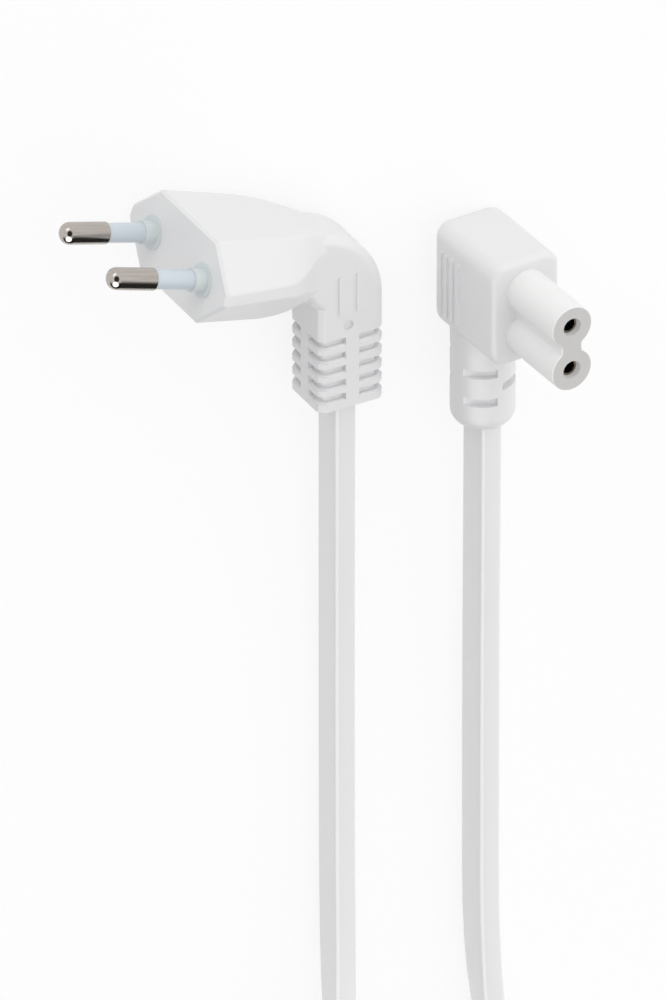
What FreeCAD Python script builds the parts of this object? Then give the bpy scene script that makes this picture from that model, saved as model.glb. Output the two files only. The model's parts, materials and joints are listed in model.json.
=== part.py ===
"""Mains lead with a right-angled figure eight connector, a flat cord and a right-angled two-pin plug.

It lies on a surface at z = 0, as it comes to rest: the connector on its back edge with the nose up, the
plug on its narrow side, and both cords running along -Y to a neat coil. Millimetres, +Z up. The origin is
on the surface, under the middle of the connector.

Each head is drawn in a frame of its own, with the cord leaving along -y at x = z = 0, and is then rolled
about its cord and set down.
"""

import FreeCAD
import Part
import math
import os

V = FreeCAD.Vector

# Flat two-core cord: the width and thickness of its sheath, and the cores in it
CORD_WIDTH = 6.9
CORD_THICKNESS = 4.2
CORD_CORNER = 1.0
CORE_DIAMETER = 2.2
CONDUCTOR_DIAMETER = 1.0
CORE_PITCH = 2.7

# Figure eight nose and its two sockets
SOCKET_PITCH = 8.6
LOBE_RADIUS = 4.0
WAIST_WIDTH = 4.0
WAIST_FILLET = 0.8
NOSE_LENGTH = 14.8
NOSE_RIM = 0.15
ENTRY_RADIUS = 1.75
ENTRY_DEPTH = 1.2
SOCKET_RADIUS = 1.22
CONTACT_WALL = 0.4
CONTACT_LENGTH = 12.5
CONTACT_SLIT = 0.5

# Connector body
BODY_FRONT = 14.0
BODY_BACK = -6.3
BODY_TOP = 10.3
BODY_BOTTOM = -10.0
BODY_THICKNESS = 13.7
BODY_CORNER = 3.0
BODY_FRONT_EDGE = 1.2
BODY_BACK_EDGE = 2.8
GRIP_RIBS = 4
GRIP_RIB_PITCH = 1.85
GRIP_RIB_WIDTH = 0.9
GRIP_RIB_LENGTH = 12.8
GRIP_RIB_HEIGHT = 0.35
GRIP_RIB_FIRST = -2.9
GRIP_RIB_MIDDLE = -0.6
CARRIER_DEPTH = 6.5
CARRIER_GROOVE = 1.6
CARRIER_GROOVE_DEPTH = 0.6

# Connector's strain relief
RELIEF_RADIUS = 5.75
RELIEF_END = -29.3
RELIEF_END_ROUND = 2.8
RELIEF_SLOT = 1.6
RELIEF_SLOT_PITCH = 2.88
RELIEF_SLOT_LAST = 6.5
RELIEF_SLOT_ROWS = 4
RELIEF_SLOT_WALL_ANGLE = 85.0
RELIEF_SLOT_SPAN = 75.0
RELIEF_SLOT_FLOOR = 4.5
RELIEF_SLOT_FLOOR_ANGLE = 60.0
CONNECTOR_SHEATH_END = -14.5

# Crimps and wires inside both heads
CRIMP_RADIUS = 1.45
CRIMP_LENGTH = 3.8
WIRE_TURN = 3.0
WIRE_LEAD = 6.2
WIRE_RISE = 6.0
WIRE_BEND_DEPTH = 28.5
WIRE_SPREAD = 1.5

# Plug pins, sleeves and the bridge that carries them
PIN_LENGTH = 19.0
PIN_RADIUS = 2.0
PIN_DOME = 1.7
PIN_STEM_RADIUS = 1.4
PIN_PITCH_AT_FACE = 18.1
PIN_PITCH_AT_TIP = 17.0
SLEEVE_RADIUS = 1.75
SLEEVE_LENGTH = 10.0
COLLAR_RADIUS = 2.1
COLLAR_LENGTH = 2.5
BOSS_RADIUS = 3.1
BOSS_RISE = 0.3
BRIDGE_SETBACK = 2.5
BRIDGE_DEPTH = 7.0
BRIDGE_WIDTH = 26.0
BRIDGE_HEIGHT = 8.0
BRIDGE_CORNER = 2.0

# Plug body: the six-sided front, the shoulder that narrows behind it and the elbow
PLUG_WIDTH = 34.8
PLUG_HEIGHT = 15.7
PLUG_FLAT = 20.1
PLUG_END_FLAT = 2.4
PLUG_TILT = 16.5
PLUG_FACE_X = -31.4
PLUG_EDGE = 0.5
PLUG_CORNER = 0.9
FRONT_DEPTH = 14.3
FRONT_WIDTH_BEHIND = 27.4
FRONT_FLAT_BEHIND = 17.0
FRONT_LAP = 0.4
# Sections behind the front: depth, width, height, broad flat and end flat
REAR_SECTIONS = (
    (15.4, 26.7, 15.6, 16.5, 2.5),
    (18.0, 24.3, 15.3, 15.2, 3.2),
    (21.0, 19.6, 14.8, 13.0, 4.8),
    (23.8, 14.7, 14.0, 10.6, 6.6),
    (26.5, 11.5, 13.1, 8.7, 7.8),
    (29.5, 9.4, 11.9, 7.0, 7.6),
)
REAR_CORNER = 1.1
ELBOW_RADIUS = 8.6
ELBOW_STEPS = 5
ELBOW_ROOT = 21.5
ELBOW_WEB = 0.8
NECK_WIDTH = 11.4
NECK_DEPTH = 13.0
NECK_CHAMFER = 1.2
NECK_CORNER = 1.1

# Plug's strain relief: five rows of slots round the four corners
PLUG_RELIEF_END = -36.6
PLUG_SLOT = 1.1
PLUG_SLOT_MOUTH = 1.7
PLUG_SLOT_FLARE = 0.35
PLUG_SLOT_PITCH = 2.8
PLUG_SLOT_ROWS = 5
PLUG_SLOT_LAST = 2.3
PLUG_SLOT_DEPTH = 1.0
PLUG_RIB_WIDTH = 2.6
PLUG_SHEATH_END = -20.5
SINK_RADIUS = 0.95
SINK_DEPTH = 0.5
SINK_PLACE = V(-0.8, -19.9, 0)
BAR_PLACES = (-2.3, 1.2)
BAR_TOP = -9.6
BAR_LENGTH = 8.0
BAR_WIDTH = 1.0
BAR_RISE = 0.35

# How the heads lie: the nose leans from upright, the pins rise from level
NOSE_LEAN = 22.9
PIN_RISE = 19.8
PLUG_OFFSET = V(-25.65, 15.15, 0)

# Coil of the cord's spare length: two layers, each a spiral with the cord on edge
COIL_CENTRE = V(-15.55, -209, 0)
COIL_OUTER_TURN = 42.0
COIL_TURN_PITCH = 4.35
COIL_TURNS_PER_LAYER = 3.111
COIL_LAYER_HEIGHT = 7.2
COIL_EDGE = 1.2

# Room round the cord where it is seated in a head or against the coil
CORD_CLEARANCE = 0.03

# Points of the cord's two loose stretches. Each arc between runs takes this share of the shorter run
ARC_SHARE = 0.45
CONNECTOR_ROUTE = [
    (-3.45, -5.0, 7.6),
    (-3.45, -38.5, 7.6),
    (-2.9, -74.6, 3.8),
    (-2.6, -159.1, 3.8),
    (16.62, -182.0, 3.6),
]
PLUG_ROUTE = [
    (-29.1, 4.15, 7.07),
    (-29.1, -30.6, 7.07),
    (-28.6, -66.6, 3.8),
    (-28.5, -133.5, 3.8),
    (-28.5, -159.1, 10.7),
    (-47.72, -182.0, 10.8),
]

# The cord keeps the roll that it leaves each head with, and is on edge where it reaches the coil
ROLL_IN = 45.0
ROLL_STEP = 7.0


def unit(vector):
    return vector * (1 / vector.Length)


def ease(share):
    """Smooth step from 0 to 1."""
    share = min(max(share, 0), 1)
    return share * share * (3 - 2 * share)


def rounded_polygon(corners, radii):
    """Closed wire through corners, each rounded by an arc of its own radius."""
    edges = []
    count = len(corners)
    trims = []
    for i in range(count):
        before = unit(corners[i - 1] - corners[i])
        after = unit(corners[(i + 1) % count] - corners[i])
        half = before.getAngle(after) / 2
        trim = radii[i] / math.tan(half)
        middle = unit(before + after) * (radii[i] / math.sin(half) - radii[i])
        trims.append((corners[i] + before * trim, corners[i] + middle, corners[i] + after * trim))
    for i in range(count):
        start, middle, end = trims[i]
        edges.append(Part.Arc(start, middle, end).toShape())
        edges.append(Part.LineSegment(end, trims[(i + 1) % count][0]).toShape())
    return Part.Wire(edges)


def smooth_path(points):
    """Wire of straight runs joined by tangent arcs, and the arcs' radii."""
    points = [V(*p) for p in points]
    edges = []
    radii = []
    start = points[0]
    for before, corner, after in zip(points, points[1:], points[2:]):
        back, ahead = before - corner, after - corner
        half = back.getAngle(ahead) / 2
        trim = ARC_SHARE * min(back.Length, ahead.Length)
        radius = trim * math.tan(half)
        back, ahead = unit(back), unit(ahead)
        middle = corner + unit(back + ahead) * (radius / math.sin(half) - radius)
        edges.append(Part.LineSegment(start, corner + back * trim).toShape())
        edges.append(Part.Arc(corner + back * trim, middle, corner + ahead * trim).toShape())
        start = corner + ahead * trim
        radii.append(radius)
    edges.append(Part.LineSegment(start, points[-1]).toShape())
    return Part.Wire(edges), radii


def point_along(path, way):
    """Point and direction at a distance along a wire of runs and arcs."""
    for edge in path.OrderedEdges:
        if way <= edge.Length + 1e-6:
            at = edge.getParameterByLength(min(way, edge.Length))
            return edge.valueAt(at), edge.tangentAt(at)
        way -= edge.Length
    return edge.valueAt(edge.LastParameter), edge.tangentAt(edge.LastParameter)


def stadium(width, thickness, centre, across, up):
    """Outline of a raised bar: two straight sides and two round ends."""
    radius = thickness / 2
    flat = across * (width / 2 - radius)
    tip = across * (width / 2)
    rise = up * radius
    return Part.Wire([
        Part.LineSegment(centre - flat + rise, centre + flat + rise).toShape(),
        Part.Arc(centre + flat + rise, centre + tip, centre + flat - rise).toShape(),
        Part.LineSegment(centre + flat - rise, centre - flat - rise).toShape(),
        Part.Arc(centre - flat - rise, centre - tip, centre - flat + rise).toShape(),
    ])


def cord_outline(centre, across, up, grow=0.0):
    """Outline of the flat cord: a rectangle with round corners."""
    corners = [centre + across * (x * (CORD_WIDTH / 2 + grow)) + up * (y * (CORD_THICKNESS / 2 + grow))
               for x, y in ((-1, 1), (1, 1), (1, -1), (-1, -1))]
    return rounded_polygon(corners, [CORD_CORNER + grow] * len(corners))


def rod(points, radius):
    """Round rod along a path of runs and arcs."""
    path, _ = smooth_path(points)
    start, towards = V(*points[0]), V(*points[1]) - V(*points[0])
    ring = Part.Wire(Part.Circle(start, towards, radius).toShape())
    return path.makePipeShell([ring], True, False)


def wire_pieces(points, stripped):
    """Insulation and conductor of one core. The conductor runs on past the insulation by stripped."""
    last, before = V(*points[-1]), V(*points[-2])
    tip = last + unit(last - before) * stripped
    conductor = rod(points[:-1] + [tuple(tip)], CONDUCTOR_DIAMETER / 2)
    insulation = rod(points, CORE_DIAMETER / 2).cut(conductor)
    return insulation, conductor


def cylinder(radius, length, start, direction):
    return Part.makeCylinder(radius, length, start, direction)


# Connector, in its own frame: +x along the nose, +y away from the cord, +z the ribbed side

X, Y, Z = V(1, 0, 0), V(0, 1, 0), V(0, 0, 1)


def socket_heights():
    return {"upper": SOCKET_PITCH / 2, "lower": -SOCKET_PITCH / 2}


def figure_eight(start, length, grow=0.0):
    """Two lobes joined by a waist, with the four inner corners rounded."""
    radius = LOBE_RADIUS + grow
    lobes = [cylinder(radius, length, V(start, y, 0), X) for y in socket_heights().values()]
    waist = Part.makeBox(length, SOCKET_PITCH, WAIST_WIDTH + 2 * grow,
                         V(start, -SOCKET_PITCH / 2, -WAIST_WIDTH / 2 - grow))
    eight = lobes[0].fuse([lobes[1], waist]).removeSplitter()
    inner = [e for e in eight.Edges
             if abs(e.Vertexes[0].X - e.Vertexes[-1].X) > length / 2
             and abs(abs(e.CenterOfMass.z) - WAIST_WIDTH / 2 - grow) < 0.01
             and abs(e.CenterOfMass.y) < SOCKET_PITCH / 2]
    return eight.makeFillet(WAIST_FILLET, inner)


def contact_start():
    """Where a contact's mouth lies, just inside the nose's end."""
    return BODY_FRONT + NOSE_LENGTH - ENTRY_DEPTH


def crimp_start():
    return contact_start() - CONTACT_LENGTH - CRIMP_LENGTH


def carrier_block():
    """Outside of the carrier: the nose and its root, with a locking groove round the root."""
    tip = BODY_FRONT + NOSE_LENGTH
    root = BODY_FRONT - CARRIER_DEPTH
    nose = figure_eight(root, CARRIER_DEPTH + NOSE_LENGTH)
    rim = [e for e in nose.Edges if abs(e.BoundBox.XMin - tip) < 1e-6 and abs(e.BoundBox.XMax - tip) < 1e-6]
    nose = nose.makeChamfer(NOSE_RIM, rim)
    start = root + CARRIER_GROOVE
    band = cylinder(SOCKET_PITCH + LOBE_RADIUS, CARRIER_GROOVE, V(start, 0, 0), X)
    return nose.cut(band.cut(figure_eight(start, CARRIER_GROOVE, -CARRIER_GROOVE_DEPTH)))


def contact_carrier():
    """Hard moulding that holds both contacts."""
    carrier = carrier_block()
    for y in socket_heights().values():
        entry = cylinder(ENTRY_RADIUS, ENTRY_DEPTH, V(contact_start(), y, 0), X)
        seat = cylinder(SOCKET_RADIUS + CONTACT_WALL, contact_start(), V(0, y, 0), X)
        carrier = carrier.cut([entry, seat])
    return carrier


def contact(y):
    """Tubular contact, slit along one side so that it springs, with a crimp barrel behind it."""
    outer = SOCKET_RADIUS + CONTACT_WALL
    mouth = contact_start()
    back = mouth - CONTACT_LENGTH
    tube = cylinder(outer, CONTACT_LENGTH, V(back, y, 0), X)
    bore = cylinder(SOCKET_RADIUS, CONTACT_LENGTH - CONTACT_WALL, V(back + CONTACT_WALL, y, 0), X)
    slit = Part.makeBox(CONTACT_LENGTH - 2 * CONTACT_WALL, CONTACT_SLIT, outer,
                        V(back + 2 * CONTACT_WALL, y - CONTACT_SLIT / 2, 0))
    barrel = cylinder(CRIMP_RADIUS, CRIMP_LENGTH, V(crimp_start(), y, 0), X)
    hole = cylinder(CONDUCTOR_DIAMETER / 2, CRIMP_LENGTH - CONTACT_WALL, V(crimp_start(), y, 0), X)
    return tube.cut([bore, slit]).fuse(barrel).cut(hole)


def connector_wires():
    """Insulation and conductor of both cores, from the sheath's end up to the two crimps."""
    made = []
    for lane, height in zip((-CORE_PITCH / 2, CORE_PITCH / 2), socket_heights().values()):
        points = [(lane, CONNECTOR_SHEATH_END, 0), (lane, height - WIRE_TURN, 0),
                  (crimp_start() - WIRE_LEAD, height, 0), (crimp_start(), height, 0)]
        made.append(wire_pieces(points, CRIMP_LENGTH - CONTACT_WALL))
    return made


def connector_block():
    """Rounded block with four grip ribs on each broad side."""
    half = BODY_THICKNESS / 2
    corners = [V(BODY_BACK, BODY_BOTTOM, -half), V(BODY_BACK, BODY_TOP, -half),
               V(BODY_BACK, BODY_TOP, half), V(BODY_BACK, BODY_BOTTOM, half)]
    outline = rounded_polygon(corners, [BODY_CORNER] * len(corners))
    block = Part.Face(outline).extrude(X * (BODY_FRONT - BODY_BACK))

    def rim(x):
        return [e for e in block.Edges
                if abs(e.BoundBox.XMin - x) < 1e-6 and abs(e.BoundBox.XMax - x) < 1e-6]

    block = block.makeFillet(BODY_BACK_EDGE, rim(BODY_BACK))
    block = block.makeFillet(BODY_FRONT_EDGE, rim(BODY_FRONT))
    for i in range(GRIP_RIBS):
        x = GRIP_RIB_FIRST + i * GRIP_RIB_PITCH
        reach = half + GRIP_RIB_HEIGHT
        for side in (1, -1):
            centre = V(x, GRIP_RIB_MIDDLE, 0)
            outline = stadium(GRIP_RIB_LENGTH, GRIP_RIB_WIDTH, centre, Y, X)
            block = block.fuse(Part.Face(outline).extrude(Z * side * reach))
    return block


def relief_slots():
    """Slots across the round strain relief, each with a flat floor that runs out at one end.

    The other end is a wall. The rows take turns about the plane of the nose, and each row has a slot on
    either side.
    """
    cutters = []
    for row in range(RELIEF_SLOT_ROWS):
        foot = V(0, RELIEF_END + RELIEF_SLOT_LAST + row * RELIEF_SLOT_PITCH - RELIEF_SLOT / 2, 0)
        reach = RELIEF_RADIUS + 1
        wedge = Part.makeCylinder(reach, RELIEF_SLOT, foot, Y, RELIEF_SLOT_SPAN)
        at = wedge.CenterOfMass
        turned = math.degrees(math.atan2(at.x, at.z))
        wedge = wedge.rotated(V(0, 0, 0), Y, RELIEF_SLOT_WALL_ANGLE - RELIEF_SLOT_SPAN / 2 - turned)
        core = Part.makeBox(2 * reach, RELIEF_SLOT, reach + RELIEF_SLOT_FLOOR, foot - X * reach - Z * reach)
        wedge = wedge.cut(core.rotated(V(0, 0, 0), Y, RELIEF_SLOT_FLOOR_ANGLE))
        if row % 2:
            wedge = wedge.mirror(V(0, 0, 0), Z)
        cutters += [wedge, wedge.rotated(V(0, 0, 0), Y, 180)]
    return cutters


def connector_outer():
    """Body and strain relief as one moulding, before anything inside is taken out."""
    length = BODY_BOTTOM - RELIEF_END + BODY_CORNER
    relief = cylinder(RELIEF_RADIUS, length, V(0, RELIEF_END, 0), Y)
    rim = [e for e in relief.Edges if abs(e.BoundBox.YMax - RELIEF_END) < 1e-6]
    relief = relief.makeFillet(RELIEF_END_ROUND, rim).cut(relief_slots())
    return connector_block().fuse(relief)


def make_connector():
    """All the connector's pieces, by name, in the connector's own frame."""
    (upper_insulation, upper_conductor), (lower_insulation, lower_conductor) = connector_wires()
    pieces = {
        "contact_carrier": contact_carrier(),
        "upper_contact": contact(socket_heights()["upper"]),
        "lower_contact": contact(socket_heights()["lower"]),
        "connector_brown_wire": upper_insulation,
        "connector_brown_conductor": upper_conductor,
        "connector_blue_wire": lower_insulation,
        "connector_blue_conductor": lower_conductor,
    }
    hollows = [carrier_block(), upper_insulation, upper_conductor, lower_insulation, lower_conductor]
    pieces["connector_housing"] = connector_outer().cut(hollows)
    return pieces


# Plug, in its own frame: -x towards the pins, +y away from the cord, +z the side that ends up on top

TILT = math.radians(PLUG_TILT)
PIN_WAY = V(-math.cos(TILT), math.sin(TILT), 0)
BODY_UP = V(math.sin(TILT), math.cos(TILT), 0)
FACE_CENTRE = V(PLUG_FACE_X, 0, 0)


def eight_sided(centre, up, width, height, flat, end_flat, corner):
    """Section of the plug's body: broad flats, slanted sides and narrow ends, corners rounded."""
    w, h, a, e = width / 2, height / 2, flat / 2, end_flat / 2
    marks = [(-a, h), (a, h), (w, e), (w, -e), (a, -h), (-a, -h), (-w, -e), (-w, e)]
    corners = [centre + Z * z + up * y for z, y in marks]
    return rounded_polygon(corners, [corner] * len(corners))


def along_body(depth):
    return FACE_CENTRE - PIN_WAY * depth


def elbow_stations():
    """Centre and upward direction of sections round the elbow, from the body's axis to the cord's."""
    turn = math.pi / 2 - TILT
    reach = ELBOW_RADIUS * math.tan(turn / 2)
    meeting = along_body(-PLUG_FACE_X / math.cos(TILT))
    start = meeting + PIN_WAY * reach
    pivot = start - BODY_UP * ELBOW_RADIUS
    stations = []
    for i in range(ELBOW_STEPS + 1):
        share = i / ELBOW_STEPS
        up = FreeCAD.Rotation(Z, -math.degrees(turn) * share).multVec(BODY_UP)
        stations.append((pivot + up * ELBOW_RADIUS, up, share))
    return stations


def neck_section(centre, up, width, height):
    flat, end_flat = width - 2 * NECK_CHAMFER, height - 2 * NECK_CHAMFER
    return eight_sided(centre, up, width, height, flat, end_flat, NECK_CORNER)


def plug_front():
    """Six-sided front with a bevelled rim, tapering back from the face."""
    rim = eight_sided(along_body(0), BODY_UP, PLUG_WIDTH - 2 * PLUG_EDGE, PLUG_HEIGHT - 2 * PLUG_EDGE,
                      PLUG_FLAT - PLUG_EDGE, PLUG_END_FLAT - PLUG_EDGE, PLUG_CORNER)
    fore = eight_sided(along_body(PLUG_EDGE), BODY_UP, PLUG_WIDTH, PLUG_HEIGHT, PLUG_FLAT,
                       PLUG_END_FLAT, PLUG_CORNER)
    aft = eight_sided(along_body(FRONT_DEPTH), BODY_UP, FRONT_WIDTH_BEHIND, PLUG_HEIGHT, FRONT_FLAT_BEHIND,
                      PLUG_END_FLAT, PLUG_CORNER)
    return Part.makeLoft([rim, fore, aft], True, True)


def plug_rear():
    """Body behind the front, narrowing until it ends inside the elbow."""
    sections = [eight_sided(along_body(FRONT_DEPTH - FRONT_LAP), BODY_UP, FRONT_WIDTH_BEHIND,
                            PLUG_HEIGHT - FRONT_LAP / 10, FRONT_FLAT_BEHIND, PLUG_END_FLAT, PLUG_CORNER)]
    for depth, width, height, flat, end_flat in REAR_SECTIONS:
        sections.append(eight_sided(along_body(depth), BODY_UP, width, height, flat, end_flat, REAR_CORNER))
    return Part.makeLoft(sections, True, False)


def plug_elbow():
    """Flat-sided elbow, rooted inside the body, with a web inside its bend."""
    bend = [neck_section(along_body(ELBOW_ROOT), BODY_UP, NECK_WIDTH, NECK_DEPTH)]
    for centre, up, share in elbow_stations():
        web = ELBOW_WEB * math.sin(math.pi * share)
        bend.append(neck_section(centre - up * (web / 2), up, NECK_WIDTH, NECK_DEPTH + web))
    return Part.makeLoft(bend, True, False)


def slot_cutter(y, side_x, side_z):
    """One slot round a corner of the square strain relief, its mouth flared."""
    reach_x, reach_z = NECK_DEPTH / 2, NECK_WIDTH / 2
    corner = V(side_x * reach_x, y, side_z * reach_z)
    along_x = V(side_x * PLUG_RIB_WIDTH / 2, y, side_z * reach_z)
    along_z = V(side_x * reach_x, y, side_z * PLUG_RIB_WIDTH / 2)
    turn = NECK_CHAMFER + NECK_CORNER
    bend_in = corner - X * (side_x * turn)
    bend_out = corner - Z * (side_z * turn)
    middle = corner - (X * side_x + Z * side_z) * (turn * (1 - math.sqrt(0.5)))
    path = Part.Wire([Part.LineSegment(along_x, bend_in).toShape(),
                      Part.Arc(bend_in, middle, bend_out).toShape(),
                      Part.LineSegment(bend_out, along_z).toShape()])
    out = Z * side_z
    marks = [(1, PLUG_SLOT_MOUTH), (0, PLUG_SLOT_MOUTH),
             (-PLUG_SLOT_FLARE, PLUG_SLOT), (-PLUG_SLOT_DEPTH, PLUG_SLOT)]
    profile = [along_x + out * depth + Y * height / 2 for depth, height in marks]
    profile += [along_x + out * depth - Y * height / 2 for depth, height in reversed(marks)]
    profile = Part.makePolygon(profile + profile[:1])
    sweep = Part.BRepOffsetAPI.MakePipeShell(path)
    sweep.setBiNormalMode(Y)
    sweep.add(profile)
    sweep.build()
    sweep.makeSolid()
    return sweep.shape()


def plug_relief():
    """Square strain relief with rows of slots round its four corners and a rib down each side."""
    top = elbow_stations()[-1][0].y
    outline = neck_section(V(0, PLUG_RELIEF_END, 0), X, NECK_WIDTH, NECK_DEPTH)
    block = Part.Face(outline).extrude(Y * (top - PLUG_RELIEF_END))
    cutters = []
    for row in range(PLUG_SLOT_ROWS):
        y = PLUG_RELIEF_END + PLUG_SLOT_LAST + row * PLUG_SLOT_PITCH
        cutters += [slot_cutter(y, side_x, side_z) for side_x in (1, -1) for side_z in (1, -1)]
    return block.cut(cutters)


def pin_points(side):
    """Where a pin leaves the face and where it ends. The pins lean towards each other."""
    foot = FACE_CENTRE + Z * side * PIN_PITCH_AT_FACE / 2
    tip = FACE_CENTRE + PIN_WAY * PIN_LENGTH + Z * side * PIN_PITCH_AT_TIP / 2
    return foot, tip


def crimp(side):
    """Crimp barrel behind the bridge, at the inner end of a pin."""
    foot, tip = pin_points(side)
    way = unit(tip - foot)
    back = foot - way * (BRIDGE_SETBACK + BRIDGE_DEPTH + CRIMP_LENGTH)
    return cylinder(CRIMP_RADIUS, CRIMP_LENGTH, back, way)


def pin(side):
    """Solid pin with a domed tip, a thinner stem in its sleeve and a crimp barrel inside."""
    foot, tip = pin_points(side)
    way = unit(tip - foot)
    bare = cylinder(PIN_RADIUS, PIN_LENGTH - SLEEVE_LENGTH, foot + way * SLEEVE_LENGTH, way)
    far = [e for e in bare.Edges if (e.CenterOfMass - tip).Length < 0.1]
    bare = bare.makeFillet(PIN_DOME, far)
    inside = BRIDGE_SETBACK + BRIDGE_DEPTH
    stem = cylinder(PIN_STEM_RADIUS, inside + SLEEVE_LENGTH, foot - way * inside, way)
    back = foot - way * (inside + CRIMP_LENGTH)
    hole = cylinder(CONDUCTOR_DIAMETER / 2, CRIMP_LENGTH - CONTACT_WALL, back, way)
    return bare.fuse([stem, crimp(side)]).cut(hole)


def sleeve(side):
    """Insulating sleeve on the inner half of a pin, rooted in the bridge."""
    foot, tip = pin_points(side)
    way = unit(tip - foot)
    start = foot - way * BRIDGE_SETBACK
    length = SLEEVE_LENGTH + BRIDGE_SETBACK
    return cylinder(SLEEVE_RADIUS, length, start, way).cut(cylinder(PIN_STEM_RADIUS, length, start, way))


def bridge_solid():
    """Hard block behind the face, with a boss and a collar round each pin."""
    near = along_body(BRIDGE_SETBACK)
    half_width, half_height = BRIDGE_WIDTH / 2, BRIDGE_HEIGHT / 2
    corners = [near + Z * (z * half_width) + BODY_UP * (y * half_height)
               for z, y in ((-1, -1), (-1, 1), (1, 1), (1, -1))]
    outline = rounded_polygon(corners, [BRIDGE_CORNER] * len(corners))
    bridge = Part.Face(outline).extrude(PIN_WAY * -BRIDGE_DEPTH)
    for side in (1, -1):
        foot, _ = pin_points(side)
        boss = cylinder(BOSS_RADIUS, BRIDGE_SETBACK + BOSS_RISE, foot - PIN_WAY * BRIDGE_SETBACK, PIN_WAY)
        bridge = bridge.fuse([boss, cylinder(COLLAR_RADIUS, COLLAR_LENGTH, foot, PIN_WAY)])
    return bridge


def pin_bridge():
    bridge = bridge_solid()
    for side in (1, -1):
        foot, tip = pin_points(side)
        way = unit(tip - foot)
        inside = BRIDGE_SETBACK + BRIDGE_DEPTH + 1
        bore = cylinder(SLEEVE_RADIUS, BRIDGE_SETBACK + SLEEVE_LENGTH, foot - way * BRIDGE_SETBACK, way)
        bridge = bridge.cut([bore, cylinder(PIN_STEM_RADIUS, inside, foot - way * inside, way), crimp(side)])
    return bridge


def plug_wires():
    """Insulation and conductor of both cores, from the sheath's end round the elbow to the crimps."""
    made = []
    for side in (1, -1):
        foot, tip = pin_points(side)
        way = unit(tip - foot)
        back = foot - way * (BRIDGE_SETBACK + BRIDGE_DEPTH + CRIMP_LENGTH)
        lane = Z * side * CORE_PITCH / 2
        bend = along_body(WIRE_BEND_DEPTH) + lane * WIRE_SPREAD
        points = [V(0, PLUG_SHEATH_END, 0) + lane, V(0, PLUG_SHEATH_END + WIRE_RISE, 0) + lane, bend,
                  back - way * WIRE_TURN, back]
        made.append(wire_pieces([tuple(p) for p in points], CRIMP_LENGTH - CONTACT_WALL))
    return made


def make_plug():
    """All the plug's pieces, by name, in the plug's own frame."""
    (upper_insulation, upper_conductor), (lower_insulation, lower_conductor) = plug_wires()
    pieces = {
        "pin_bridge": pin_bridge(),
        "upper_pin": pin(1),
        "lower_pin": pin(-1),
        "upper_pin_sleeve": sleeve(1),
        "lower_pin_sleeve": sleeve(-1),
        "plug_brown_wire": upper_insulation,
        "plug_brown_conductor": upper_conductor,
        "plug_blue_wire": lower_insulation,
        "plug_blue_conductor": lower_conductor,
    }
    sink = cylinder(SINK_RADIUS, NECK_WIDTH, SINK_PLACE + Z * (NECK_WIDTH / 2 - SINK_DEPTH), Z)
    outlines = [stadium(BAR_LENGTH, BAR_WIDTH, V(x, BAR_TOP - BAR_LENGTH / 2, 0), Y, X) for x in BAR_PLACES]
    bars = [Part.Face(outline).extrude(Z * (NECK_WIDTH / 2 + BAR_RISE)) for outline in outlines]
    outer = plug_front().fuse([plug_rear(), plug_elbow(), plug_relief()] + bars).cut(sink)
    inner = [shape for name, shape in pieces.items() if name != "pin_bridge"]
    pieces["plug_housing"] = outer.cut([bridge_solid()] + inner)
    return pieces


# Cord

def cord_run(name, route, head_roll):
    """Flat cord along a loose stretch, from a head's strain relief to the coil."""
    path, radii = smooth_path(route)
    steps = round(path.Length / ROLL_STEP)
    sections = []
    for i in range(steps + 1):
        way = path.Length * i / steps
        centre, ahead = point_along(path, way)
        level = unit(ahead.cross(Z))
        roll = 90 - head_roll * (1 - ease((way - path.Length + ROLL_IN) / ROLL_IN))
        across = FreeCAD.Rotation(ahead, roll).multVec(level)
        sections.append(cord_outline(centre, across, across.cross(ahead)))
    run = Part.makeLoft(sections, True, False)
    area = CORD_WIDTH * CORD_THICKNESS - (4 - math.pi) * CORD_CORNER ** 2
    print(f"{name}: {path.Length:.1f} mm long, radii {[round(r) for r in radii]},"
          f" volume {run.Volume / (area * path.Length):.4f} of section times length")
    return run


def coil_inner_turn():
    return COIL_OUTER_TURN - COIL_TURN_PITCH * COIL_TURNS_PER_LAYER


def cord_coil():
    """Outer shape of the coil: a ring two cord widths high."""
    outer = COIL_OUTER_TURN + CORD_THICKNESS / 2
    inner = coil_inner_turn() - CORD_THICKNESS / 2
    height = 2 * COIL_LAYER_HEIGHT
    ring = cylinder(outer, height, COIL_CENTRE, Z).cut(cylinder(inner, height, COIL_CENTRE, Z))
    ring = ring.makeFillet(COIL_EDGE, [e for e in ring.Edges if e.BoundBox.ZLength < 1e-6])
    lower, upper = coil_notch(CONNECTOR_ROUTE, -COIL_LAYER_HEIGHT), coil_notch(PLUG_ROUTE, COIL_LAYER_HEIGHT)
    return ring.cut([lower, upper])


def coil_notch(route, layer):
    """Step in the coil's rim, one layer high, where a loose stretch joins its outer turn."""
    before, end = V(*route[-2]), V(*route[-1])
    back = unit(V(before.x - end.x, before.y - end.y, 0))
    inward = unit(COIL_CENTRE - end - back * (COIL_CENTRE - end).dot(back) - Z * (COIL_CENTRE - end).z)
    inner_face = inward * (CORD_THICKNESS / 2 + CORD_CLEARANCE)
    foot = V(end.x, end.y, COIL_LAYER_HEIGHT) + inner_face
    corners = [foot, foot + back * COIL_OUTER_TURN, foot + back * COIL_OUTER_TURN - inward * COIL_OUTER_TURN,
               foot - inward * COIL_OUTER_TURN]
    return Part.Face(Part.makePolygon(corners + corners[:1])).extrude(Z * layer)


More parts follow.
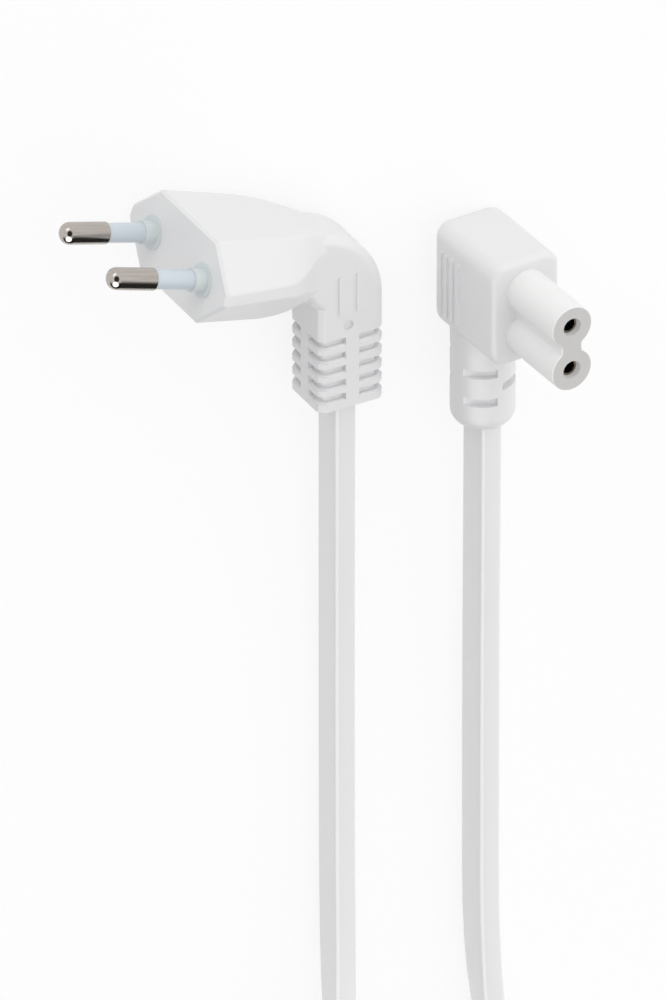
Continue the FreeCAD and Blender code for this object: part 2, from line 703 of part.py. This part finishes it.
def cord_seat(route, head_roll):
    """Straight hollow for the cord in a head's strain relief."""
    start, end = V(*route[0]), V(*route[1])
    ahead = unit(end - start)
    across = FreeCAD.Rotation(ahead, 90 - head_roll).multVec(unit(ahead.cross(Z)))
    return Part.Face(cord_outline(start, across, across.cross(ahead), CORD_CLEARANCE)).extrude(end - start)


def true_box(shape):
    return shape.optimalBoundingBox(False, False)


def set_down(pieces, rotation, at):
    """Rolls a head about its cord, moves it to at in x and y, and lowers it to the surface."""
    for shape in pieces.values():
        shape.Placement = FreeCAD.Placement(V(0, 0, 0), rotation)
    lowest = min(true_box(shape).ZMin for shape in pieces.values())
    for shape in pieces.values():
        shape.translate(at - Z * lowest)


def main():
    os.makedirs("parts", exist_ok=True)
    connector = make_connector()
    set_down(connector, FreeCAD.Rotation(Y, NOSE_LEAN - 90), V(0, 0, 0))
    box = true_box(Part.makeCompound(list(connector.values())))
    middle = V(box.Center.x, box.Center.y, 0)
    for shape in connector.values():
        shape.translate(-middle)
    plug = make_plug()
    set_down(plug, FreeCAD.Rotation(Y, PIN_RISE), PLUG_OFFSET - middle)
    cords = {
        "connector_cord_run": cord_run("connector_cord_run", CONNECTOR_ROUTE, NOSE_LEAN),
        "plug_cord_run": cord_run("plug_cord_run", PLUG_ROUTE, PIN_RISE),
    }
    cords["cord_coil"] = cord_coil()
    for head, housing, route, head_roll in ((connector, "connector_housing", CONNECTOR_ROUTE, NOSE_LEAN),
                                            (plug, "plug_housing", PLUG_ROUTE, PIN_RISE)):
        head[housing] = head[housing].cut(cord_seat(route, head_roll))
    for name, shape in {**connector, **plug, **cords}.items():
        shape.exportStep(f"parts/{name}.step")
        box = true_box(shape)
        low = [round(v, 1) for v in (box.XMin, box.YMin, box.ZMin)]
        high = [round(v, 1) for v in (box.XMax, box.YMax, box.ZMax)]
        print(f"{name}: {len(shape.Solids)} solid, valid {shape.isValid()}, {shape.Volume:.1f} cubic mm,"
              f" from {low} to {high}")


main()
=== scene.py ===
import json
import math

import bpy
from mathutils import Matrix, Quaternion, Vector


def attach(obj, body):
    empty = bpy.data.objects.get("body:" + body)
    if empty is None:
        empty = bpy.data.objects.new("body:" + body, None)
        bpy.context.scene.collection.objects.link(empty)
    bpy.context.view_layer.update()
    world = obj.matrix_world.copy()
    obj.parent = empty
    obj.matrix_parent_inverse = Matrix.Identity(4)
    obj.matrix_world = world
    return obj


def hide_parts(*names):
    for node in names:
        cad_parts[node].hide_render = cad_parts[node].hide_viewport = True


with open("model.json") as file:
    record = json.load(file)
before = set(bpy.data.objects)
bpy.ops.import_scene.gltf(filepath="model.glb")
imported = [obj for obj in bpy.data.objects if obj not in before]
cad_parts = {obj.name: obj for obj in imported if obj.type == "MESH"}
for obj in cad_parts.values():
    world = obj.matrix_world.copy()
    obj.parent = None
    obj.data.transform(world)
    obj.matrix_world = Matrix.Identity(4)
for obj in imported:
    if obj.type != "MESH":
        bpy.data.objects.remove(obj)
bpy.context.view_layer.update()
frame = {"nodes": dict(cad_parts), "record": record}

MM = 0.001
UP = Vector((0, 0, 1))

# Camera: where it looks, from which way, and how large a millimetre comes out on the picture
PICTURE_HEIGHT = 1000
SENSOR = 36.0
LOOK_AT = Vector((-28.58, -38.85, 0)) * MM
TO_CAMERA = Vector((-0.1326, 0.53, 0.8376))
PICTURE_RIGHT = Vector((0.988, 0, 0.156))
PICTURE_UP = TO_CAMERA.cross(PICTURE_RIGHT).normalized()
CAMERA_DISTANCE = 3.5
CAMERA_CLIPS = (0.1, 20)
PIXELS_PER_MM = 5.705

# Floor, and how much of its own glow it adds where the camera or gloss sees it
FLOOR_HALF = 3.0
FLOOR_COLOUR = (0.9, 0.9, 0.9)
FLOOR_ROUGHNESS = 0.9
FLOOR_GLOW = 1.03
FLOOR_GLOW_SHARE = 0.78

# Light: level and slope of the white surroundings, and a low soft lamp
WORLD_LEVEL = 0.91
WORLD_SLOPE = Vector((0.35, 0.27, 0.0))
KEY_WAY = Vector((-0.50, 0.86, 0.08))
KEY_DISTANCE = 1.3
KEY_POWER = 2.4
KEY_SIZE = 0.9

# What gloss mirrors: a light side, a dark corner behind the camera, and a bright softbox
LIGHT_SIDE = Vector((-0.1, 1.0, 0.1))
DARK_SIDE_EDGES = (-0.48, 0.05)
DARK_SIDE_LEVEL = 0.02
CORNER_WAY = Vector((-0.22, 0.42, 0.88)).normalized()
CORNER_EDGES = (math.cos(math.radians(36)), math.cos(math.radians(24)))
CORNER_LEVEL = 0.05
BOX_WAY = Vector((-0.36, -0.53, 0.77)).normalized()
BOX_EDGES = (math.cos(math.radians(34)), math.cos(math.radians(22)))
BOX_LEVEL = 3.4

# Flat cord: its sheath, and how far it leans from standing on edge where it leaves the heads
CORD_WIDTH = 7.1 * MM
CORD_THICKNESS = 4.3 * MM
CORD_CORNER = 0.95 * MM
CORD_CROWN = 0.10 * MM
CORD_CORNER_STEPS = 5
CONNECTOR_LEAN = math.radians(22.9)
PLUG_LEAN = math.radians(19.8)
ON_EDGE = math.radians(90)
ROLL_IN = 45 * MM
CONNECTOR_ROUTE = [
    (-0.00345, -0.0050, 0.0076),
    (-0.00345, -0.0385, 0.0076),
    (-0.0029, -0.0746, 0.0038),
    (-0.0026, -0.1591, 0.0038),
    (0.01662, -0.182, 0.0036),
]
PLUG_ROUTE = [
    (-0.0291, 0.00415, 0.00707),
    (-0.0291, -0.0306, 0.00707),
    (-0.0286, -0.0666, 0.0038),
    (-0.0285, -0.1335, 0.0038),
    (-0.0285, -0.1591, 0.0107),
    (-0.04772, -0.182, 0.0108),
]
COIL_CENTRE = Vector((-15.55, -209, 0)) * MM
COIL_OUTER_TURN = 42.0 * MM
COIL_TURN_PITCH = 4.35 * MM
COIL_HEIGHTS = (3.6 * MM, 10.8 * MM)
COIL_TURNS_PER_LAYER = 3.111
COIL_CLIMB_TURNS = 0.5
COIL_START = math.radians(40)
COIL_POINTS_PER_TURN = 16
COIL_REACH = COIL_OUTER_TURN + CORD_THICKNESS
SPLINE_STEPS = 10

# Pins: their way from the face, the streaks along them, and where their round ends begin
PIN_WAY = Vector((-0.902, 0.284, 0.325)).normalized()
PIN_UP = (PICTURE_UP - PIN_WAY * PICTURE_UP.dot(PIN_WAY)).normalized()
PIN_SIDE = PIN_WAY.cross(PIN_UP)
PIN_DOME_EDGES = (82.7 * MM, 83.2 * MM)
STREAKS_ALONG = 150
STREAKS_ACROSS = 2200
STREAK_DARK = (0.36, 0.33, 0.30)
STREAK_LIGHT = (0.58, 0.54, 0.50)
BRUSHED = 0.20
POLISHED = 0.06

# Nose: the way it points. Its end face and the floors of its mouths get a darker colour than its sides, as
# painted shade
NOSE_WAY = Vector((0.3891, 0, 0.9212))
NOSE_END_SHADE_EDGES = (0.93, 0.98)
NOSE_SIDE_COLOUR = (0.86, 0.86, 0.855)
NOSE_END_SHADE_COLOUR = (0.61, 0.598, 0.585)

# Mouldings and metals: how far colour and roughness wander, over what scale, and the grain
PLASTIC_WANDER = {"change": 0.006, "scale": 60, "swing": 0.05}
METAL_WANDER = {"change": 0.02, "scale": 300, "swing": 0.03}
WANDER_DETAIL = 3
PLASTIC_GRAIN_DEPTH = 0.04 * MM
SHEATH_GRAIN_DEPTH = 0.004 * MM
METAL_GRAIN_DEPTH = 0.01 * MM
PLASTIC_GRAIN_SCALE = 900
METAL_GRAIN_SCALE = 2500
GRAIN_DETAIL = 4
GRAIN_STRENGTH = 0.5


def ease(share):
    """Smooth step from 0 to 1, flat at both ends."""
    share = min(max(share, 0), 1)
    return share * share * (3 - 2 * share)


def mesh_object(name, vertices, faces, smooth=True):
    mesh = bpy.data.meshes.new(name)
    mesh.from_pydata(vertices, [], faces)
    mesh.update()
    if smooth:
        mesh.polygons.foreach_set("use_smooth", [True] * len(mesh.polygons))
    piece = bpy.data.objects.new(name, mesh)
    bpy.context.scene.collection.objects.link(piece)
    return piece


# Cord

def coil_points():
    """The put-away length: a spiral inwards on the surface, a climb, and a spiral outwards on top of it."""
    whole = 2 * COIL_TURNS_PER_LAYER + COIL_CLIMB_TURNS
    count = round(whole * COIL_POINTS_PER_TURN)
    low, high = COIL_HEIGHTS
    points = []
    for i in range(count + 1):
        turns = whole * i / count
        inward = min(turns, whole - turns, COIL_TURNS_PER_LAYER)
        radius = COIL_OUTER_TURN - COIL_TURN_PITCH * inward
        angle = COIL_START - math.tau * turns
        height = low + (high - low) * ease((turns - COIL_TURNS_PER_LAYER) / COIL_CLIMB_TURNS)
        points.append(COIL_CENTRE + Vector((radius * math.cos(angle), radius * math.sin(angle), height)))
    return points


def cord_centreline():
    """Points along the cord's smooth line, read from a NURBS spline through the whole route."""
    route = CONNECTOR_ROUTE[:-1] + coil_points() + PLUG_ROUTE[-2::-1]
    curve = bpy.data.curves.new("cord_route", "CURVE")
    curve.dimensions = "3D"
    curve.resolution_u = SPLINE_STEPS
    spline = curve.splines.new("NURBS")
    spline.points.add(len(route) - 1)
    for point, place in zip(spline.points, route):
        point.co = (*place, 1)
    spline.order_u = 3
    spline.use_endpoint_u = True
    holder = bpy.data.objects.new("cord_route", curve)
    bpy.context.scene.collection.objects.link(holder)
    bpy.context.view_layer.update()
    line = bpy.data.meshes.new_from_object(holder.evaluated_get(bpy.context.evaluated_depsgraph_get()))
    points = [v.co.copy() for v in line.vertices]
    bpy.data.objects.remove(holder)
    bpy.data.curves.remove(curve)
    bpy.data.meshes.remove(line)
    return points


def cord_roll(way, coil_from, coil_to):
    """Roll of the flat cord from level, at a distance along it."""
    from_connector = CONNECTOR_LEAN * (1 - ease((way - coil_from + ROLL_IN) / ROLL_IN))
    from_plug = PLUG_LEAN * (1 - ease((coil_to + ROLL_IN - way) / ROLL_IN))
    return ON_EDGE - from_connector + from_plug


def sheath_section():
    """Outline of the sheath: a rectangle with round corners and slightly crowned narrow faces."""
    half_flat = CORD_THICKNESS / 2 - CORD_CORNER
    outline = []
    for x, y, start in ((1, -1, -90), (1, 1, 0), (-1, 1, 90), (-1, -1, 180)):
        centre_x = x * (CORD_WIDTH / 2 - CORD_CROWN - CORD_CORNER)
        centre_y = y * half_flat
        for i in range(CORD_CORNER_STEPS + 1):
            angle = math.radians(start + 90 * i / CORD_CORNER_STEPS)
            outline.append((centre_x + CORD_CORNER * math.cos(angle),
                            centre_y + CORD_CORNER * math.sin(angle)))
        if x != y:
            outline += [(x * (CORD_WIDTH / 2 - CORD_CROWN * share ** 2), x * share * half_flat)
                        for share in (-0.5, 0, 0.5)]
    return outline


def make_cord():
    """Sweeps the sheath's outline along the line. Returns the piece and the line."""
    line = cord_centreline()
    ways = [0.0]
    for a, b in zip(line, line[1:]):
        ways.append(ways[-1] + (b - a).length)
    in_coil = [way for point, way in zip(line, ways) if (point - COIL_CENTRE).xy.length < COIL_REACH]
    outline = sheath_section()
    vertices = []
    for i, (point, way) in enumerate(zip(line, ways)):
        ahead = (line[min(i + 1, len(line) - 1)] - line[max(i - 1, 0)]).normalized()
        level = ahead.cross(UP).normalized()
        across = Quaternion(ahead, cord_roll(way, in_coil[0], in_coil[-1])) @ level
        normal = across.cross(ahead)
        vertices += [point + across * x + normal * y for x, y in outline]
    ring = len(outline)
    faces = []
    for i in range(len(line) - 1):
        for j in range(ring):
            k = (j + 1) % ring
            faces.append((i * ring + j, (i + 1) * ring + j, (i + 1) * ring + k, i * ring + k))
    faces.append(tuple(range(ring)))
    faces.append(tuple(range((len(line) - 1) * ring, len(line) * ring))[::-1])
    return mesh_object("flat_cord", vertices, faces), line


# Materials

def principled(name, colour, roughness, metallic):
    material = bpy.data.materials.new(name)
    material.use_nodes = True
    shader = material.node_tree.nodes["Principled BSDF"]
    shader.inputs["Base Color"].default_value = (*colour, 1)
    shader.inputs["Roughness"].default_value = roughness
    shader.inputs["Metallic"].default_value = metallic
    return material, shader


def place_on_part(nodes):
    return nodes.new("ShaderNodeTexCoord").outputs["Object"]


def noise_at(nodes, links, place, scale, detail):
    noise = nodes.new("ShaderNodeTexNoise")
    noise.inputs["Scale"].default_value = scale
    noise.inputs["Detail"].default_value = detail
    links.new(place, noise.inputs["Vector"])
    return noise.outputs["Fac"]


def colour_mix(nodes, links, factor, first, second):
    """A colour between two, each of them a fixed colour or a socket."""
    mix = nodes.new("ShaderNodeMix")
    mix.data_type = "RGBA"
    links.new(factor, mix.inputs["Factor"])
    for name, colour in (("A", first), ("B", second)):
        if isinstance(colour, tuple):
            mix.inputs[name].default_value = (*colour, 1)
        else:
            links.new(colour, mix.inputs[name])
    return mix.outputs["Result"]


def varied(material, shader, colour, roughness, change, scale, swing):
    """Lets colour and roughness wander a little over the surface."""
    nodes, links = material.node_tree.nodes, material.node_tree.links
    noise = noise_at(nodes, links, place_on_part(nodes), scale, WANDER_DETAIL)
    darker = tuple(c - change for c in colour)
    lighter = tuple(c + change for c in colour)
    links.new(colour_mix(nodes, links, noise, darker, lighter), shader.inputs["Base Color"])
    spread = nodes.new("ShaderNodeMapRange")
    spread.inputs["To Min"].default_value = roughness - swing
    spread.inputs["To Max"].default_value = roughness + swing
    links.new(noise, spread.inputs["Value"])
    links.new(spread.outputs["Result"], shader.inputs["Roughness"])


def grained(material, shader, scale, depth):
    """Fine moulded grain as bump."""
    nodes, links = material.node_tree.nodes, material.node_tree.links
    bump = nodes.new("ShaderNodeBump")
    bump.inputs["Strength"].default_value = GRAIN_STRENGTH
    bump.inputs["Distance"].default_value = depth
    noise = noise_at(nodes, links, place_on_part(nodes), scale, GRAIN_DETAIL)
    links.new(noise, bump.inputs["Height"])
    links.new(bump.outputs["Normal"], shader.inputs["Normal"])


def plastic(name, colour, roughness, grain_depth=PLASTIC_GRAIN_DEPTH):
    material, shader = principled(name, colour, roughness, 0)
    varied(material, shader, colour, roughness, **PLASTIC_WANDER)
    grained(material, shader, PLASTIC_GRAIN_SCALE, grain_depth)
    return material


def metal(name, colour, roughness):
    material, shader = principled(name, colour, roughness, 1)
    varied(material, shader, colour, roughness, **METAL_WANDER)
    grained(material, shader, METAL_GRAIN_SCALE, METAL_GRAIN_DEPTH)
    return material


def along(nodes, links, vector, direction):
    """Length of a vector along a fixed direction."""
    node = nodes.new("ShaderNodeVectorMath")
    node.operation = "DOT_PRODUCT"
    node.inputs[1].default_value = direction
    links.new(vector, node.inputs[0])
    return node.outputs["Value"]


def soft_edge(nodes, links, value, edges, low, high):
    """Eases a value's change from low to high between two edges."""
    node = nodes.new("ShaderNodeMapRange")
    node.interpolation_type = "SMOOTHSTEP"
    node.inputs["From Min"].default_value = edges[0]
    node.inputs["From Max"].default_value = edges[1]
    node.inputs["To Min"].default_value = low
    node.inputs["To Max"].default_value = high
    links.new(value, node.inputs["Value"])
    return node.outputs["Result"]


def pin_nickel():
    """Bright nickel with fine streaks along the pin, brushed on its side and polished on its round end."""
    material, shader = principled("nickel", STREAK_LIGHT, BRUSHED, 1)
    nodes, links = material.node_tree.nodes, material.node_tree.links
    place = place_on_part(nodes)
    cells = nodes.new("ShaderNodeCombineXYZ")
    for socket, direction, size in (("X", PIN_WAY, STREAKS_ALONG), ("Y", PIN_UP, STREAKS_ACROSS),
                                    ("Z", PIN_SIDE, STREAKS_ACROSS)):
        links.new(along(nodes, links, place, direction * size), cells.inputs[socket])
    noise = noise_at(nodes, links, cells.outputs["Vector"], 1, WANDER_DETAIL)
    links.new(colour_mix(nodes, links, noise, STREAK_DARK, STREAK_LIGHT), shader.inputs["Base Color"])
    finish = soft_edge(nodes, links, along(nodes, links, place, PIN_WAY), PIN_DOME_EDGES, BRUSHED, POLISHED)
    links.new(finish, shader.inputs["Roughness"])
    return material


def hard_nose():
    """Hard moulding whose end face and mouth floors are mixed to a darker colour, as painted shade."""
    material = plastic("hard_nose", NOSE_SIDE_COLOUR, 0.34)
    nodes, links = material.node_tree.nodes, material.node_tree.links
    colour = nodes["Principled BSDF"].inputs["Base Color"]
    facing = along(nodes, links, nodes.new("ShaderNodeTexCoord").outputs["Normal"], NOSE_WAY)
    # Faces pointing along the nose fade to the darker colour: painted shade on the end face and mouth floors
    end = soft_edge(nodes, links, facing, NOSE_END_SHADE_EDGES, 0, 1)
    links.new(colour_mix(nodes, links, end, colour.links[0].from_socket, NOSE_END_SHADE_COLOUR), colour)
    return material


def make_materials():
    return {
        "soft_moulding": plastic("soft_moulding", (0.80, 0.80, 0.808), 0.42),
        "hard_nose": hard_nose(),
        "cord_sheath": plastic("cord_sheath", (0.84, 0.84, 0.84), 0.20, SHEATH_GRAIN_DEPTH),
        "pin_insulation": plastic("pin_insulation", (0.60, 0.66, 0.71), 0.34),
        "bridge_insulation": plastic("bridge_insulation", (0.66, 0.71, 0.715), 0.36),
        "nickel": pin_nickel(),
        "contact_brass": metal("contact_brass", (0.25, 0.21, 0.17), 0.25),
        "copper": metal("copper", (0.75, 0.38, 0.22), 0.30),
        "brown_insulation": plastic("brown_insulation", (0.12, 0.045, 0.02), 0.4),
        "blue_insulation": plastic("blue_insulation", (0.02, 0.09, 0.35), 0.4),
    }


def paint_cad(materials):
    """Gives each CAD node its slot's material, and the bridge its own clearer tone."""
    slots = {part["node"]: part["material_slot"] for part in frame["record"]["subparts"]}
    for name, piece in frame["nodes"].items():
        if piece.material_slots:
            piece.material_slots[0].material = materials[slots[name]]
        else:
            piece.data.materials.append(materials[slots[name]])
    frame["nodes"]["pin_bridge"].material_slots[0].material = materials["bridge_insulation"]


# Surroundings

def make_floor():
    """A pale floor that keeps the shadows and glows a little to the camera and in what gloss mirrors."""
    corners = [(x * FLOOR_HALF, y * FLOOR_HALF, 0) for x, y in ((-1, -1), (1, -1), (1, 1), (-1, 1))]
    floor = mesh_object("floor", corners, [(0, 1, 2, 3)], smooth=False)
    material, shader = principled("pale_floor", FLOOR_COLOUR, FLOOR_ROUGHNESS, 0)
    nodes, links = material.node_tree.nodes, material.node_tree.links
    glow = nodes.new("ShaderNodeEmission")
    glow.inputs["Color"].default_value = (1, 1, 1, 1)
    glow.inputs["Strength"].default_value = FLOOR_GLOW
    paths = nodes.new("ShaderNodeLightPath")
    seen = nodes.new("ShaderNodeMath")
    seen.operation = "MAXIMUM"
    links.new(paths.outputs["Is Camera Ray"], seen.inputs[0])
    links.new(paths.outputs["Is Glossy Ray"], seen.inputs[1])
    share = nodes.new("ShaderNodeMath")
    share.operation = "MULTIPLY"
    share.inputs[1].default_value = FLOOR_GLOW_SHARE
    links.new(seen.outputs[0], share.inputs[0])
    mix = nodes.new("ShaderNodeMixShader")
    links.new(share.outputs[0], mix.inputs["Fac"])
    links.new(shader.outputs[0], mix.inputs[1])
    links.new(glow.outputs[0], mix.inputs[2])
    links.new(mix.outputs[0], nodes["Material Output"].inputs["Surface"])
    floor.data.materials.append(material)


def make_key():
    """A low soft lamp that lights the upper sides of both heads."""
    lamp = bpy.data.lights.new("key", "AREA")
    lamp.energy = KEY_POWER
    lamp.size = KEY_SIZE
    holder = bpy.data.objects.new("key", lamp)
    bpy.context.scene.collection.objects.link(holder)
    way = KEY_WAY.normalized()
    holder.location = LOOK_AT + way * KEY_DISTANCE
    holder.rotation_mode = "QUATERNION"
    holder.rotation_quaternion = way.to_track_quat("Z", "Y")


def make_world():
    """White surroundings, brighter where the light comes from. Gloss mirrors darker places and a softbox."""
    world = bpy.data.worlds.new("studio")
    bpy.context.scene.world = world
    world.use_nodes = True
    nodes, links = world.node_tree.nodes, world.node_tree.links
    background = nodes["Background"]
    background.inputs["Color"].default_value = (1, 1, 1, 1)
    way = nodes.new("ShaderNodeTexCoord").outputs["Generated"]
    soft = nodes.new("ShaderNodeMath")
    soft.operation = "ADD"
    soft.inputs[1].default_value = WORLD_LEVEL
    links.new(along(nodes, links, way, WORLD_SLOPE), soft.inputs[0])
    sides = soft_edge(nodes, links, along(nodes, links, way, LIGHT_SIDE), DARK_SIDE_EDGES, DARK_SIDE_LEVEL, 1)
    corner = soft_edge(nodes, links, along(nodes, links, way, CORNER_WAY), CORNER_EDGES, 1, CORNER_LEVEL)
    box = soft_edge(nodes, links, along(nodes, links, way, BOX_WAY), BOX_EDGES, 0, BOX_LEVEL)
    mirrored = nodes.new("ShaderNodeMath")
    mirrored.operation = "MULTIPLY_ADD"
    for socket, value in zip(mirrored.inputs, (sides, corner, box)):
        links.new(value, socket)
    paths = nodes.new("ShaderNodeLightPath")
    for_gloss = nodes.new("ShaderNodeMix")
    links.new(paths.outputs["Is Glossy Ray"], for_gloss.inputs["Factor"])
    links.new(soft.outputs[0], for_gloss.inputs["A"])
    links.new(mirrored.outputs[0], for_gloss.inputs["B"])
    for_camera = nodes.new("ShaderNodeMix")
    for_camera.inputs["B"].default_value = 1
    links.new(paths.outputs["Is Camera Ray"], for_camera.inputs["Factor"])
    links.new(for_gloss.outputs["Result"], for_camera.inputs["A"])
    links.new(for_camera.outputs["Result"], background.inputs["Strength"])


def make_camera():
    """A long lens at the photograph's viewing angle, scaled to its size of a millimetre."""
    camera = bpy.data.cameras.new("camera")
    camera.sensor_width = SENSOR
    camera.lens = PIXELS_PER_MM / MM * CAMERA_DISTANCE * SENSOR / PICTURE_HEIGHT
    camera.clip_start, camera.clip_end = CAMERA_CLIPS
    holder = bpy.data.objects.new("camera", camera)
    bpy.context.scene.collection.objects.link(holder)
    back = TO_CAMERA.normalized()
    turn = Matrix((PICTURE_UP.cross(back), PICTURE_UP, back)).transposed().to_4x4()
    holder.matrix_world = Matrix.Translation(LOOK_AT + back * CAMERA_DISTANCE) @ turn
    bpy.context.scene.camera = holder


def main():
    bpy.context.scene.view_settings.view_transform = "Standard"
    make_camera()
    make_world()
    make_floor()
    make_key()
    materials = make_materials()
    paint_cad(materials)
    cord, line = make_cord()
    cord.data.materials.append(materials["cord_sheath"])
    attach(cord, "root")
    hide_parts("connector_cord_run", "cord_coil", "plug_cord_run")


main()
